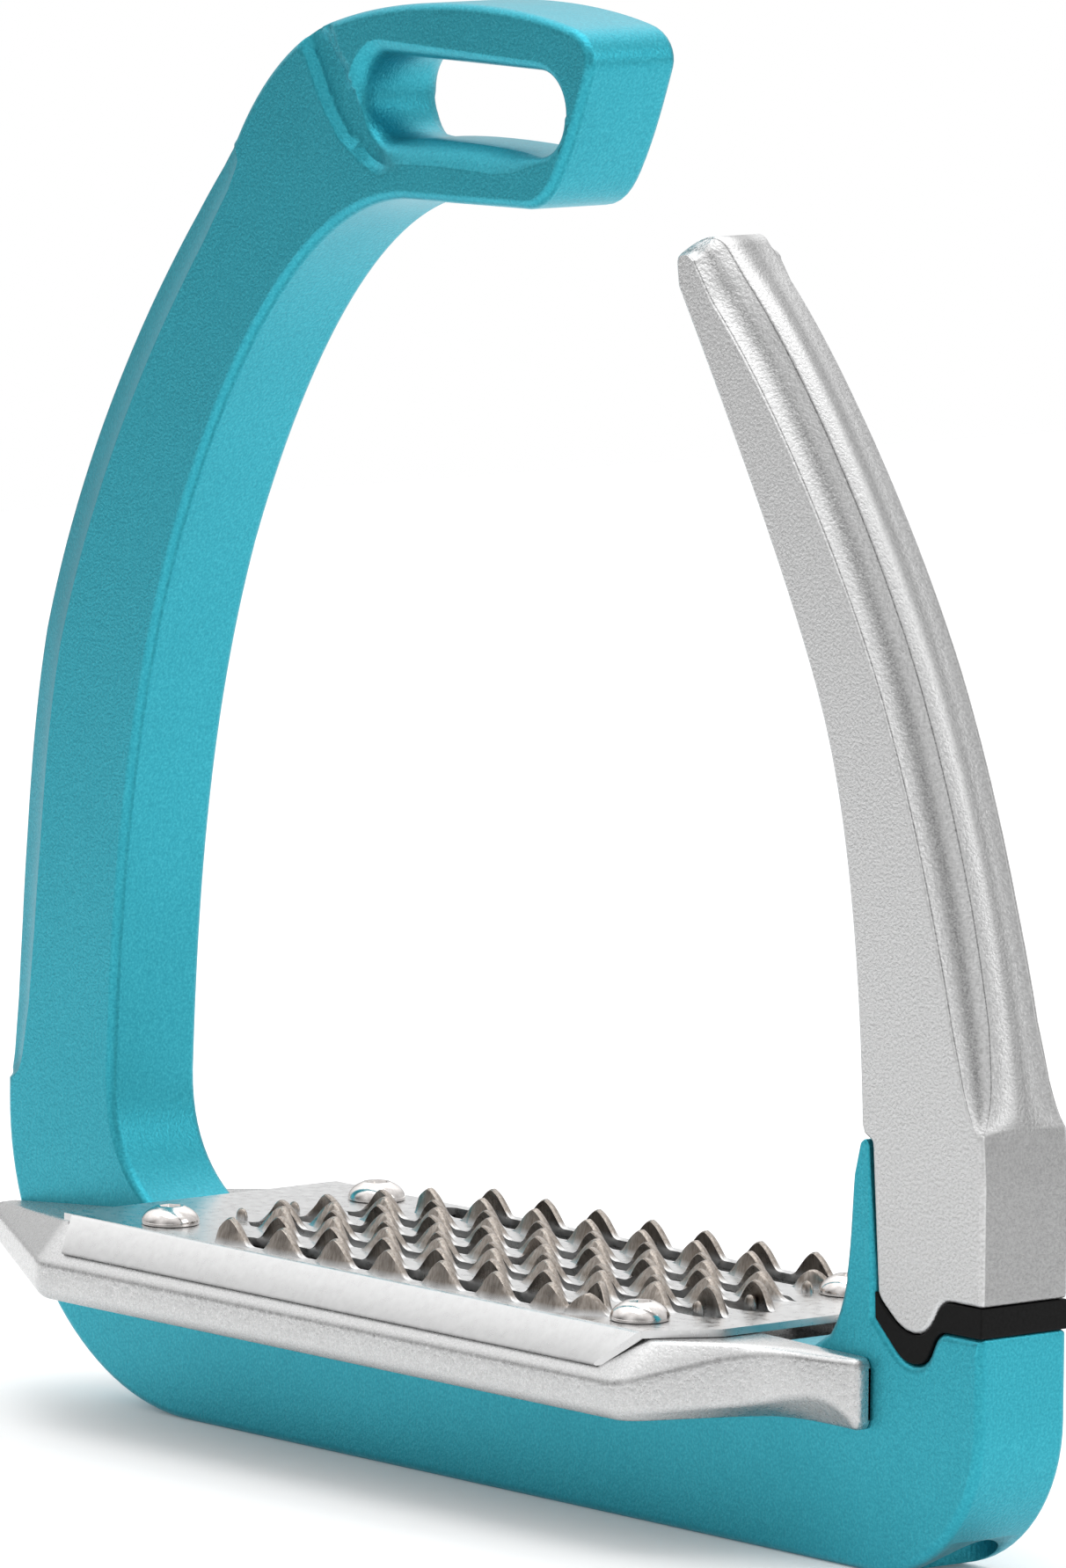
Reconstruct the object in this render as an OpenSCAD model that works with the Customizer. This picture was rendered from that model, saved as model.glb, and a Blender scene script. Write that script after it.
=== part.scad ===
// Safety stirrup with an outer arm that tilts open under load.
// Frame of reference: X runs from the fixed branch (-X) to the release arm (+X),
// Y runs from the front face (-Y) to the rear face (+Y), Z is up.
// The stirrup stands on the flat underside of its base, at Z = 0.

/* [Frame] */
// Thickness of the forged frame, eye, base and arm
slab_t = 12; // [11:0.5:13]
// Height of the crown of the eye
eye_top = 157; // [155:0.5:159]
// X of the outer face of the base under the arm
base_right = 81.2; // [80.5:0.1:82]
// X of the outer edge of the fixed branch
base_left = -81.2; // [-82:0.1:-81]
// Height of the ledge that carries the tray
ledge_z = 19.5; // [18:0.5:20]

/* [Leather slot] */
// Left end of the slot
slot_x0 = -20.5; // [-21.5:0.5:-17]
// Right end of the slot
slot_x1 = 13; // [11:0.5:13]
// Lower edge of the slot
slot_z0 = 142; // [140.5:0.5:142]
// Upper edge of the slot
slot_z1 = 151; // [151:0.5:152]

/* [Arm seat] */
// Height of the flat shoulder under the gasket
seat_z = 26.4; // [25.5:0.1:27]
// Thickness of the rubber gasket
gasket_t = 3.1; // [2.5:0.1:3.5]
// Running gap between the gasket and the foot of the arm
seat_gap = 0.1; // [0.05:0.05:0.3]
// Gap between the spike of the frame and the arm
spike_gap = 0.4; // [0.3:0.1:0.8]

/* [Arm spring] */
// X of the vertical spring bore
spring_x = 71.4; // [70.5:0.1:72]
// Outside diameter of the draw spring
spring_d = 5.6; // [5:0.1:6]
// Wire diameter of the draw spring
wire_d = 0.9; // [0.7:0.1:1]
// Number of close turns of the draw spring
spring_turns = 11; // [8:1:12]
// Diameter of the anchor plug
plug_d = 8; // [7.5:0.1:8.5]

/* [Tread] */
// Height of the top of the grip plate
plate_z = 23.5; // [23:0.1:24]
// Thickness of the grip plate sheet
sheet_t = 0.8; // [0.6:0.1:1]
// Half width of the flat of the grip plate
plate_half = 18.9; // [18:0.1:19.2]
// Half width of the tray
tray_half = 22.5; // [22:0.1:24]
// Height of the underside of the tray's bars
tray_z0 = 14.3; // [14:0.1:15]

/* [Teeth] */
// Height of a tooth above the plate
tooth_h = 2.9; // [2:0.1:3.2]
// Distance between teeth along a row
tooth_pitch = 8.9; // [8.5:0.1:9.2]
// Distance between one row of teeth and the next
row_pitch = 3.85; // [3.6:0.05:3.95]
// Number of lanced cuts, each with two rows of teeth
cuts = 5; // [3:1:5]

/* [Screws] */
// Head diameter of the grip plate's button screws
button_d = 6.3; // [6:0.1:6.6]
// Half distance between the button screws along X
screw_half_x = 39.3; // [38.5:0.1:40]
// Half distance between the button screws along Y
screw_half_y = 14.3; // [14:0.1:14.6]

/* [Hidden] */
$fn = 48;
eps = 0.01;
half_t = slab_t / 2;
plate_cx = -1.9;             // middle of the grip plate's screw pattern
foot_z = seat_z + gasket_t + seat_gap;   // underside of the arm's foot at its outer edge
teal = [0.13, 0.62, 0.66];
silver = [0.78, 0.79, 0.80];
steel = [0.55, 0.53, 0.50];

// ---- curves -------------------------------------------------------------
// Points of a cubic curve from a to d, leaving out the last one
function curve(a, b, c, d, n = 12) =
    [for (i = [0:n - 1]) let (t = i / n, s = 1 - t)
        s*s*s*a + 3*s*s*t*b + 3*s*t*t*c + t*t*t*d];
// Points of an arc about c, both ends included
function arc(c, r, a0, a1, n = 12) =
    [for (i = [0:n]) let (a = a0 + (a1 - a0) * i / n) c + r * [cos(a), sin(a)]];

// Stand an X-Z outline up as a slab centred on Y = 0
module slab(outline, thick) {
    rotate([90, 0, 0]) linear_extrude(thick, center = true) polygon(outline);
}
// A hole along Y
module hole_y(x, z, d, y0, y1) {
    translate([x, y1, z]) rotate([90, 0, 0]) cylinder(d = d, h = y1 - y0);
}
// A hole along Z
module hole_z(x, y, d, z0, z1) {
    translate([x, y, z0]) cylinder(d = d, h = z1 - z0);
}

// ---- frame --------------------------------------------------------------
spike_tip = [62.9, 44.9];
spike_root = [64.8, seat_z + 0.1];
corner_r = 17;               // outer corner of the base under the arm
heel_r = 32;                 // corner of the base under the fixed branch

// Seat under the gasket, from the outer face inwards: shoulder, rounded groove, spike
function seat_curve() = concat(
    [[base_right, seat_z]],
    curve([75.8, seat_z], [74.5, seat_z], [74.0, 25.6], [73.5, 24.5], 5),
    curve([73.5, 24.5], [73.0, 23.2], [72.2, 22.5], [70.8, 22.5], 5),
    curve([70.8, 22.5], [69.6, 22.5], [68.8, 22.9], [68.1, 23.5], 4),
    [[68.1, 23.5], spike_root]);

function frame_outline() = concat(
    arc([base_right - corner_r, corner_r], corner_r, -90, 0, 10),
    seat_curve(),
    [[64.6, 30], [63.5, 44.2], spike_tip, [62.2, 44.4]],
    curve([61.3, 41], [60.6, 36], [60.6, 26.5], [56.5, 23.0], 10),
    [[54.5, 22.2], [49.9, 22.2], [49.9, ledge_z], [-52.9, ledge_z], [-52.9, 22.5]],
    curve([-55, 22.7], [-59.5, 25.3], [-62.6, 29.5], [-62.5, 36], 10),
    curve([-62.5, 36], [-61.8, 58], [-59.3, 77], [-52.2, 95.2], 14),
    curve([-52.2, 95.2], [-46, 110], [-33, 134.2], [-13.8, 135.8], 18),
    [[-13.8, 135.8], [7, 136.2]],
    curve([7, 136.2], [9.5, 136.4], [11, 138], [12.2, 140], 4),
    curve([12.2, 140], [14.5, 143.8], [16, 148], [17.2, 151.2], 5),
    curve([17.2, 151.2], [17.8, 153], [16.5, 155.2], [13.5, 155.7], 5),
    curve([13.5, 155.7], [3, eye_top + 0.9], [-13, eye_top + 0.7], [-25, 154.2], 12),
    curve([-25, 154.2], [-32, 152.4], [-38, 147.2], [-42, 140.5], 8),
    curve([-42, 140.5], [-54.5, 128.5], [-70.5, 107], [-77.1, 84], 16),
    curve([-77.1, 84], [-80.5, 70], [base_left, 52], [base_left, heel_r], 12),
    arc([base_left + heel_r, heel_r], heel_r, 180, 270, 16));

slot_r = 4.4;
module leather_slot() {
    w = slot_x1 - slot_x0;
    h = slot_z1 - slot_z0;
    for (x = [slot_x0 + slot_r, slot_x1 - slot_r], z = [slot_z0 + slot_r, slot_z1 - slot_r])
        hole_y(x, z, 2 * slot_r, -half_t - 1, half_t + 1);
    translate([slot_x0 + slot_r, -half_t - 1, slot_z0]) cube([w - 2 * slot_r, slab_t + 2, h]);
    translate([slot_x0, -half_t - 1, slot_z0 + slot_r]) cube([w, slab_t + 2, h - 2 * slot_r]);
}

bore_d = spring_d + 0.8;     // spring bore
plug_z0 = 4.6;               // lower end of the anchor plug
plug_h = 8;
pin_d = 2;
fit = 0.03;                  // radial clearance of pins and screws in their holes
dowel_x = 77.8;
dowel_d = 2.4;
tray_screw_x = [-34, -1.9, 30];
tray_screw_d = 4;
tray_screw_z0 = 8;

module frame() color(teal) difference() {
    slab(frame_outline(), slab_t);
    leather_slot();
    hole_z(spring_x, 0, bore_d, 0, seat_z + 2);
    hole_z(spring_x, 0, plug_d + 2 * fit, -1, plug_z0 + plug_h);
    hole_z(dowel_x, 0, dowel_d + 2 * fit, seat_z - 6, seat_z + 1);
    for (x = tray_screw_x) hole_z(x, 0, tray_screw_d + 2 * fit, tray_screw_z0, ledge_z + 1);
}

// ---- release arm --------------------------------------------------------
// Underside of the foot, from the inner side outwards, lowered by d
function foot_curve(d) = concat(
    [[65.1, 29.1 - d]],
    curve([65.6, 28.4 - d], [67.2, 27.1 - d], [68.4, 25.7 - d], [70.6, 25.6 - d], 6),
    curve([70.6, 25.6 - d], [72.6, 25.6 - d], [73.4, 26.8 - d], [74.0, 27.8 - d], 6),
    curve([74.0, 27.8 - d], [74.7, 29.2 - d], [75.4, foot_z - d], [76.4, foot_z - d], 4),
    [[76.4, foot_z - d], [base_right, foot_z - d]]);

function arm_outline() = concat(
    foot_curve(0),
    curve([base_right, 42], [80.4, 57], [73.9, 77], [68.5, 89], 14),
    curve([68.5, 89], [63.2, 101.5], [50, 121.5], [38.8, 131.6], 14),
    [[38.8, 131.6]],
    curve([36.3, 134.1], [35.3, 135.1], [34.6, 135.8], [33.6, 135.6], 5),
    curve([33.6, 135.6], [31.9, 135.2], [30.9, 132.6], [31.7, 130], 6),
    curve([31.7, 130], [39.5, 117.5], [50.5, 99.5], [54.9, 88.6], 14),
    curve([54.9, 88.6], [59.8, 77], [61.6, 60], [62.2, 46.2], 14),
    [[62.2, 46.2], [62.6, spike_tip[1] + spike_gap], [63.5 + spike_gap, spike_tip[1] - 0.3],
     [64.6 + spike_gap, 30]]);

arm_pin_z = 34;              // height of the pin that holds the top of the spring
module release_arm() color(silver) difference() {
    slab(arm_outline(), slab_t);
    hole_z(spring_x, 0, bore_d + 0.6, foot_z - 6, arm_pin_z + 4);
    hole_y(spring_x, arm_pin_z, pin_d + 2 * fit, -half_t + 1.5, half_t + 1);
    // slot over the dowel, long enough for the arm to tilt off it
    for (dx = [-1.2, 0]) hole_z(dowel_x + dx, 0, dowel_d + 0.3, foot_z - 1, foot_z + 2.4);
    translate([dowel_x - 1.2, -dowel_d / 2 - 0.15, foot_z - 1]) cube([1.2, dowel_d + 0.3, 3.4]);
}

module arm_spring_pin() color(silver)
    hole_y(spring_x, arm_pin_z, pin_d, -half_t + 1.6, half_t - 0.2);

// ---- seat of the arm ----------------------------------------------------
function gasket_outline() = concat(
    foot_curve(seat_gap),
    seat_curve(),
    [[64.68, 29.3]]);

module seat_gasket() color([0.05, 0.05, 0.05]) difference() {
    slab(gasket_outline(), slab_t - 0.2);
    hole_z(spring_x, 0, bore_d, 15, 40);
    hole_z(dowel_x, 0, dowel_d + 0.2, 15, 40);
}

dowel_top = foot_z + 1.6;
module locating_dowel() color(silver) {
    hole_z(dowel_x, 0, dowel_d, seat_z - 5.8, dowel_top - 0.5);
    translate([dowel_x, 0, dowel_top - 0.5]) cylinder(d1 = dowel_d, d2 = dowel_d - 1, h = 0.5);
}

// ---- draw spring and its anchor -----------------------------------------
coil_r = (spring_d - wire_d) / 2;
coil_steps = 14;
hook_r = pin_d / 2 + wire_d / 2 + 0.15;
anchor_pin_z = plug_z0 + plug_h - 1.6;

// Centre line of the close coils. Each end winds in to the axis and joins its hook.
coil_z0 = anchor_pin_z + hook_r;
coil_z1 = arm_pin_z - hook_r;
function coil_line() = [for (i = [0:spring_turns * coil_steps])
    let (turn = i / coil_steps, a = 360 * turn,
         from_end = min(turn, spring_turns - turn),
         r = coil_r * min(1, 0.1 + from_end / 0.8))
    [r * cos(a), r * sin(a), coil_z0 + (coil_z1 - coil_z0) * turn / spring_turns]];

function unit(v) = v / norm(v);
// Tube of n sides swept along a line of points
module sweep_wire(line, d, n = 7) {
    last = len(line) - 1;
    dirs = [for (i = [0:last]) unit(line[min(i + 1, last)] - line[max(i - 1, 0)])];
    rings = [for (i = [0:last])
        let (side = unit(cross(dirs[i], [0.03, 0.05, 1])), over = cross(side, dirs[i]))
        [for (k = [0:n - 1]) line[i] + d / 2 * (cos(360 * k / n) * side + sin(360 * k / n) * over)]];
    points = [for (r = rings) for (p = r) p];
    sides = [for (i = [0:last - 1], k = [0:n - 1])
        let (k2 = (k + 1) % n) [i * n + k, i * n + k2, (i + 1) * n + k2, (i + 1) * n + k]];
    polyhedron(points, concat([[for (k = [n - 1:-1:0]) k]], sides,
                              [[for (k = [0:n - 1]) last * n + k]]), convexity = 8);
}
module hook_ring(z) {
    translate([0, 0, z]) rotate([90, 0, 0])
        rotate_extrude() translate([hook_r, 0]) circle(d = wire_d, $fn = 16);
}
module draw_spring() color(steel) translate([spring_x, 0, 0]) {
    sweep_wire(coil_line(), wire_d);
    hook_ring(arm_pin_z);
    hook_ring(anchor_pin_z);
}

module spring_anchor() color(steel) difference() {
    hole_z(spring_x, 0, plug_d, plug_z0, plug_z0 + plug_h);
    translate([spring_x, 0, plug_z0 - 1]) cylinder(d = 4 / cos(30), h = 3.5, $fn = 6);
    hole_z(spring_x, 0, plug_d - 2.2, plug_z0 + plug_h - 3.8, plug_z0 + plug_h + 1);
    hole_y(spring_x, anchor_pin_z, pin_d + 2 * fit, -plug_d, plug_d);
}
module anchor_pin() color(silver)
    hole_y(spring_x, anchor_pin_z, pin_d, -plug_d / 2 + 0.35, plug_d / 2 - 0.35);

// ---- tread tray ---------------------------------------------------------
tray_top = plate_z - sheet_t - 0.05;
tray_x0 = -54.2;
tray_x1 = 43.5;
wall = 1.6;
side_gap = 0.1;              // between the tray and the faces of the frame
lug_x0 = -79.6;
lug_x1 = 64.4;

// Section of the front half at mid length, in Y-Z
bar_section = [
    [-half_t - side_gap, tray_z0 + 0.3], [-tray_half + 1.2, tray_z0],
    [-tray_half, tray_z0 + 1.2], [-tray_half, 17.9], [-tray_half + 0.6, 18.5],
    [-plate_half + 0.5, tray_top], [-half_t - side_gap, tray_top]];

module bar_slice(x, y0, y1, z0, z1) {
    translate([x, y0, z0]) cube([0.2, y1 - y0, z1 - z0]);
}
module front_bar() {
    inner = -half_t - side_gap;
    translate([tray_x0, 0, 0]) rotate([90, 0, 90])
        linear_extrude(tray_x1 - tray_x0) polygon(bar_section);
    // inner end, tapering back to the fixed branch
    hull() {
        bar_slice(tray_x0, -tray_half + 0.4, inner, tray_z0 + 0.4, 18.8);
        bar_slice(tray_x0, -plate_half + 0.5, inner, tray_z0 + 0.4, tray_top);
        bar_slice(lug_x0, inner - 2, inner, 16.8, 19.9);
    }
    // outer end, cut back steeply to a pad on the face of the frame
    hull() {
        bar_slice(tray_x1 - 0.2, -tray_half + 0.6, inner, tray_z0 + 0.4, 18.8);
        bar_slice(tray_x1 - 0.2, -plate_half + 0.5, inner, tray_z0 + 0.4, tray_top);
        bar_slice(51, -13.5, inner, tray_z0 + 1.2, 20.8);
        bar_slice(51, -10.5, inner, tray_z0 + 1.2, 22.4);
    }
    translate([51, inner - 1.6, 15]) cube([lug_x1 - 51, 1.6, 7.3]);
}
module tray_body() {
    front_bar();
    mirror([0, 1, 0]) front_bar();
    translate([-52.7, -half_t - 1, ledge_z + 0.05])
        cube([102.4, slab_t + 2, tray_top - ledge_z - 0.05]);
}
module tread_tray() color(silver) difference() {
    tray_body();
    // troughs under the grip plate
    for (s = [-1, 1])
        translate([-35, s * 12.2 - 4.6, tray_z0 + wall]) cube([66, 9.2, 20]);
    for (x = [-1, 1], y = [-1, 1])
        hole_z(plate_cx + x * screw_half_x, y * screw_half_y, 3.5 + 2 * fit, tray_z0 + wall, plate_z);
    for (x = tray_screw_x) {
        hole_z(x, 0, tray_screw_d + 0.3, ledge_z - 1, plate_z);
        translate([x, 0, tray_top - 2.1])
            cylinder(d1 = tray_screw_d + 0.3, d2 = tray_screw_d + 4.5, h = 2.1 + eps);
    }
}

// ---- grip plate ---------------------------------------------------------
plate_x0 = -54;
plate_x1 = 49;
row_y0 = -row_pitch * (2 * cuts - 1) / 2;
row_x0 = -27.6;              // first tooth of the front row

// First and last tooth of each row, counted from the middle of the plate
function row_first(r) = r == 0 || r == 2 * cuts - 2 ? 0 : -1;
function row_last(r) = r < 2 || r > 2 * cuts - 3 ? 6 : 7;
function tooth_x(r, k) = row_x0 + tooth_pitch * (k + (r % 2 == 0 ? 0 : 0.5));

module tooth() {
    w = 6.2;
    slab([[-w / 2, 0], [w / 2, 0], [w / 2 - 0.6, 0.8], [0.8, tooth_h - 0.25], [0, tooth_h],
          [-0.8, tooth_h - 0.25], [-w / 2 + 0.6, 0.8]], sheet_t);
}
module plate_flat() {
    translate([0, 0, plate_z - sheet_t]) linear_extrude(sheet_t)
        polygon([[plate_x0, -plate_half], [43.1, -plate_half], [plate_x1, -11.4],
                 [plate_x1, 11.4], [43.1, plate_half], [plate_x0, plate_half]]);
}
// Flange folded down over the sloping shoulder of the tray
module flange() {
    translate([plate_x0 + 1.6, 0, 0]) rotate([90, 0, 90]) linear_extrude(43.1 - plate_x0 - 1.6)
        polygon([[-plate_half + 0.3, plate_z - sheet_t], [-plate_half + 0.1, plate_z],
                 [-plate_half - 2.9, plate_z - 3.6], [-plate_half - 2.3, plate_z - 3.95]]);
}
module grip_plate() color(steel) {
    difference() {
        union() {
            plate_flat();
            flange();
            mirror([0, 1, 0]) flange();
        }
        for (c = [0:cuts - 1])
            translate([tooth_x(2 * c, row_first(2 * c)) - 2, row_y0 + row_pitch * 2 * c + sheet_t / 2,
                       plate_z - 2])
                cube([tooth_pitch * (row_last(2 * c + 1) - row_first(2 * c)) + 8,
                      row_pitch - sheet_t, 4]);
        for (x = [-1, 1], y = [-1, 1])
            hole_z(plate_cx + x * screw_half_x, y * screw_half_y, 3.8, plate_z - 2, plate_z + 1);
    }
    for (r = [0:2 * cuts - 1], k = [row_first(r):row_last(r)])
        translate([tooth_x(r, k), row_y0 + row_pitch * r, plate_z - sheet_t / 2]) tooth();
}

// ---- screws -------------------------------------------------------------
// Button head screw with a hexagon socket, its head's seat at Z = 0
module button_screw() {
    head_h = 1.95;
    ball_r = (pow(button_d / 2, 2) + pow(head_h, 2)) / (2 * head_h);
    difference() {
        union() {
            intersection() {
                cylinder(d = button_d, h = head_h - 0.15);
                translate([0, 0, head_h - ball_r]) sphere(ball_r);
            }
            translate([0, 0, -7]) cylinder(d = 3.5, h = 7.1);
        }
        translate([0, 0, 0.5]) cylinder(d = 2.5 / cos(30), h = 3, $fn = 6);
    }
}
module grip_screw(sx, sy) color(silver)
    translate([plate_cx + sx * screw_half_x, sy * screw_half_y, plate_z + 0.02]) button_screw();

module tray_screw(i) color(silver) translate([tray_screw_x[i], 0, 0]) difference() {
    union() {
        translate([0, 0, tray_screw_z0 + 0.3])
            cylinder(d = tray_screw_d, h = tray_top - tray_screw_z0 - 0.4);
        translate([0, 0, tray_top - 2.05])
            cylinder(d1 = tray_screw_d - 0.1, d2 = tray_screw_d + 3.8, h = 1.95);
    }
    translate([0, 0, tray_top - 1.8]) cylinder(d = 2.5 / cos(30), h = 3, $fn = 6);
}

frame();
release_arm();
seat_gasket();
locating_dowel();
draw_spring();
arm_spring_pin();
spring_anchor();
anchor_pin();
tread_tray();
grip_plate();
grip_screw(-1, -1);  // grip_screw_front_left
grip_screw(-1, 1);  // grip_screw_rear_left
grip_screw(1, -1);  // grip_screw_front_right
grip_screw(1, 1);  // grip_screw_rear_right
tray_screw(0);  // tray_screw_left
tray_screw(1);  // tray_screw_middle
tray_screw(2);  // tray_screw_right
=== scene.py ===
import math

import bmesh
import bpy
from mathutils import Matrix, Vector
from mathutils.geometry import delaunay_2d_cdt


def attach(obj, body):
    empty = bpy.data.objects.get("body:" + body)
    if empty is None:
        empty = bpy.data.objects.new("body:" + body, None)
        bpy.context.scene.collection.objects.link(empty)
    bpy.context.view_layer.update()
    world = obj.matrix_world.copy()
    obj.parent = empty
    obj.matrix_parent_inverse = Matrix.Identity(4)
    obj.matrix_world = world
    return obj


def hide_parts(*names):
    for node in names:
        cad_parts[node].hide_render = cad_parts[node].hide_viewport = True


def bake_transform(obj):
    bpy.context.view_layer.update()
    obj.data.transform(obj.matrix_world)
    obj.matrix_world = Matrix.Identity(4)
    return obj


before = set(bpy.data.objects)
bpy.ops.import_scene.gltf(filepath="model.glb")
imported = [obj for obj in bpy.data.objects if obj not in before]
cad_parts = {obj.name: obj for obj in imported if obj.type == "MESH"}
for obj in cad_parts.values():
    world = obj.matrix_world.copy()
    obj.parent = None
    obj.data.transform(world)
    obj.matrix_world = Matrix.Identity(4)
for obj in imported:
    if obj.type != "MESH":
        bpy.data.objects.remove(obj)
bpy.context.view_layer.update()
MM = 0.001

# --- Frame -------------------------------------------------------------------
# One flat drop-forged aluminium slab: the eye, the fixed branch, the base and
# the thin spike beside the arm. It is deburred all round, blasted and dyed teal.
slab_half = 6.0
base_right = 81.2
base_left = -base_right
foot_round = 17
branch_round = 32
ledge_z = 19.5
ledge_x0, ledge_x1 = -52.9, 49.9
spring_x = 71.4


def bend(a, b, c, d, n):
    """Points of a cubic curve from a to d, without the last one."""
    points = []
    for i in range(n):
        t = i / n
        s = 1 - t
        w = (s * s * s, 3 * s * s * t, 3 * s * t * t, t * t * t)
        points.append(tuple(sum(k * p[j] for k, p in zip(w, (a, b, c, d))) for j in (0, 1)))
    return points


def arc(cx, cz, r, a0, a1, n=12):
    """Points of an arc about (cx, cz), both ends included, angles in degrees."""
    angles = [math.radians(a0 + (a1 - a0) * i / n) for i in range(n + 1)]
    return [(cx + r * math.cos(a), cz + r * math.sin(a)) for a in angles]


def ease(t):
    """0 to 1 with flat ends, for t from 0 to 1."""
    t = min(1.0, max(0.0, t))
    return t * t * (3 - 2 * t)


def lookup(x, table):
    """Value at x in a table of (x, value) pairs in rising order."""
    if x <= table[0][0]:
        return table[0][1]
    for (xa, va), (xb, vb) in zip(table, table[1:]):
        if x <= xb:
            return va + (vb - va) * (x - xa) / (xb - xa)
    return table[-1][1]


def rounded(p, q, r, reach, steps):
    """Points of a round on the corner q between p and r, which starts reach before it."""
    a, b = (p - q), (r - q)
    reach = min(reach, a.length * 0.45, b.length * 0.45)
    p1, p2 = q + a.normalized() * reach, q + b.normalized() * reach
    places = [k / steps for k in range(steps + 1)]
    return [p1 * (1 - t) ** 2 + q * 2 * t * (1 - t) + p2 * t * t for t in places]


sharp = 22.0


def soften(points, radius):
    """Rounds the corners of a closed outline that turn by more than sharp degrees."""
    out = []
    points = [p for p, q in zip(points, points[-1:] + points[:-1])
              if (Vector(p) - Vector(q)).length > 0.01]
    n = len(points)
    for i in range(n):
        p, q, r = (Vector(points[k % n]) for k in (i - 1, i, i + 1))
        turn = math.degrees(math.pi - (p - q).angle(r - q))
        if turn < sharp:
            out.append(tuple(q))
            continue
        reach = radius * math.tan(math.radians(turn) / 2)
        out += [tuple(v) for v in rounded(p, q, r, reach, max(3, int(turn / 12)))]
    return out


def even(points, step):
    """Splits the sides of a closed outline so that none is longer than step, and drops
    points that nearly touch."""
    out = []
    for a, b in zip(points, points[1:] + points[:1]):
        va, vb = Vector(a), Vector(b)
        n = max(1, math.ceil((vb - va).length / step))
        out += [tuple(va.lerp(vb, k / n)) for k in range(n)]
    clean = [out[0]]
    for p in out[1:]:
        if (Vector(p) - Vector(clean[-1])).length > 0.04:
            clean.append(p)
    return clean


def inward(points):
    """Mitred inward direction at each corner of an anticlockwise outline."""
    dirs = []
    n = len(points)
    for i in range(n):
        p, q, r = (Vector(points[k % n]) for k in (i - 1, i, i + 1))
        t1, t2 = (q - p).normalized(), (r - q).normalized()
        n1, n2 = Vector((-t1.y, t1.x)), Vector((-t2.y, t2.x))
        m = n1 + n2
        if m.length < 1e-6:
            m = n1
        m.normalize()
        dirs.append(m / max(0.6, m.dot(n1)))
    return dirs


def inside(p, line):
    """True where p is inside a closed outline."""
    hit = False
    for (xa, za), (xb, zb) in zip(line, line[1:] + line[:1]):
        if (za > p[1]) != (zb > p[1]) and p[0] < (xb - xa) * (p[1] - za) / (zb - za) + xa:
            hit = not hit
    return hit


def untangle(base, moved):
    """Draws together the points that an inset has carried past each other."""
    n = len(base)
    for _ in range(40):
        crossed = False
        for k in range(n):
            m = (k + 1) % n
            if (moved[m] - moved[k]).dot(base[m] - base[k]) < -1e-9:
                moved[k] = moved[m] = (moved[k] + moved[m]) / 2
                crossed = True
        if not crossed:
            break
    return moved


# stations across a worked edge, from the side wall to the face, and how much painted shade
# lies at each one: a fine dark line inside both ridges and a darker valley in the flute
edge_steps = (0, 0.035, 0.06, 0.085, 0.15, 0.24, 0.33, 0.42, 0.5, 0.58, 0.67, 0.76, 0.85, 0.915,
              0.94, 0.965, 1)
edge_crease_shade = (0, 0, 1, 0, 0, 0.05, 0.25, 0.5, 0.6, 0.5, 0.25, 0.05, 0, 0, 1, 0, 0)


def edge_profile(radius, wide=0.0, deep=0.0, dip=0.0, crease_shade=0.0):
    """Edge between a side wall and the front face as (inset, depth below the face, painted shade).
    It is a plain round of the radius, or a chamfer with a hollow in it."""
    # where a chamfer runs out, it passes into the round over this much of its size
    runout = 1.2
    mix = ease((max(wide, deep) - radius) / runout)
    rows = []
    for t, shade_weight in zip(edge_steps, edge_crease_shade):
        a = t * math.pi / 2
        round_in, round_down = radius * (1 - math.cos(a)), radius * (1 - math.sin(a))
        hollow = dip * math.sin(math.pi * t)
        flat_in, flat_down = wide * t + hollow * 0.7, deep * (1 - t) + hollow * 0.7
        rows.append((round_in + (flat_in - round_in) * mix,
                     round_down + (flat_down - round_down) * mix, shade_weight * crease_shade * mix))
    last = rows[-1]
    return rows + [(last[0] + 0.12, 0.0, 0.0)]


def filled(rims, inner=()):
    """Triangles inside the first closed line and outside the others, which are holes.
    Gives their places, the points that each place came from, and the triangles."""
    flat = [Vector(p) for rim in rims for p in rim] + [Vector(p) for p in inner]
    edges = []
    start = 0
    for rim in rims:
        edges += [(start + k, start + (k + 1) % len(rim)) for k in range(len(rim))]
        start += len(rim)
    places, _, faces, origins = delaunay_2d_cdt(flat, edges, [], 1, 1e-5)[:4]
    kept = []
    for tri in faces:
        centre = sum((places[k] for k in tri), Vector((0, 0))) / 3
        if inside(centre, rims[0]) and not any(inside(centre, rim) for rim in rims[1:]):
            kept.append(tri)
    return places, origins, kept


def placed(name, bm, smooth=True, crease=None):
    """Object in the scene with the mesh of bm; edges sharper than crease degrees stay sharp."""
    mesh = bpy.data.meshes.new(name)
    bm.to_mesh(mesh)
    bm.free()
    if smooth:
        mesh.shade_smooth()
    if crease:
        mesh.set_sharp_from_angle(angle=math.radians(crease))
    obj = bpy.data.objects.new(name, mesh)
    bpy.context.scene.collection.objects.link(obj)
    return obj


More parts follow.
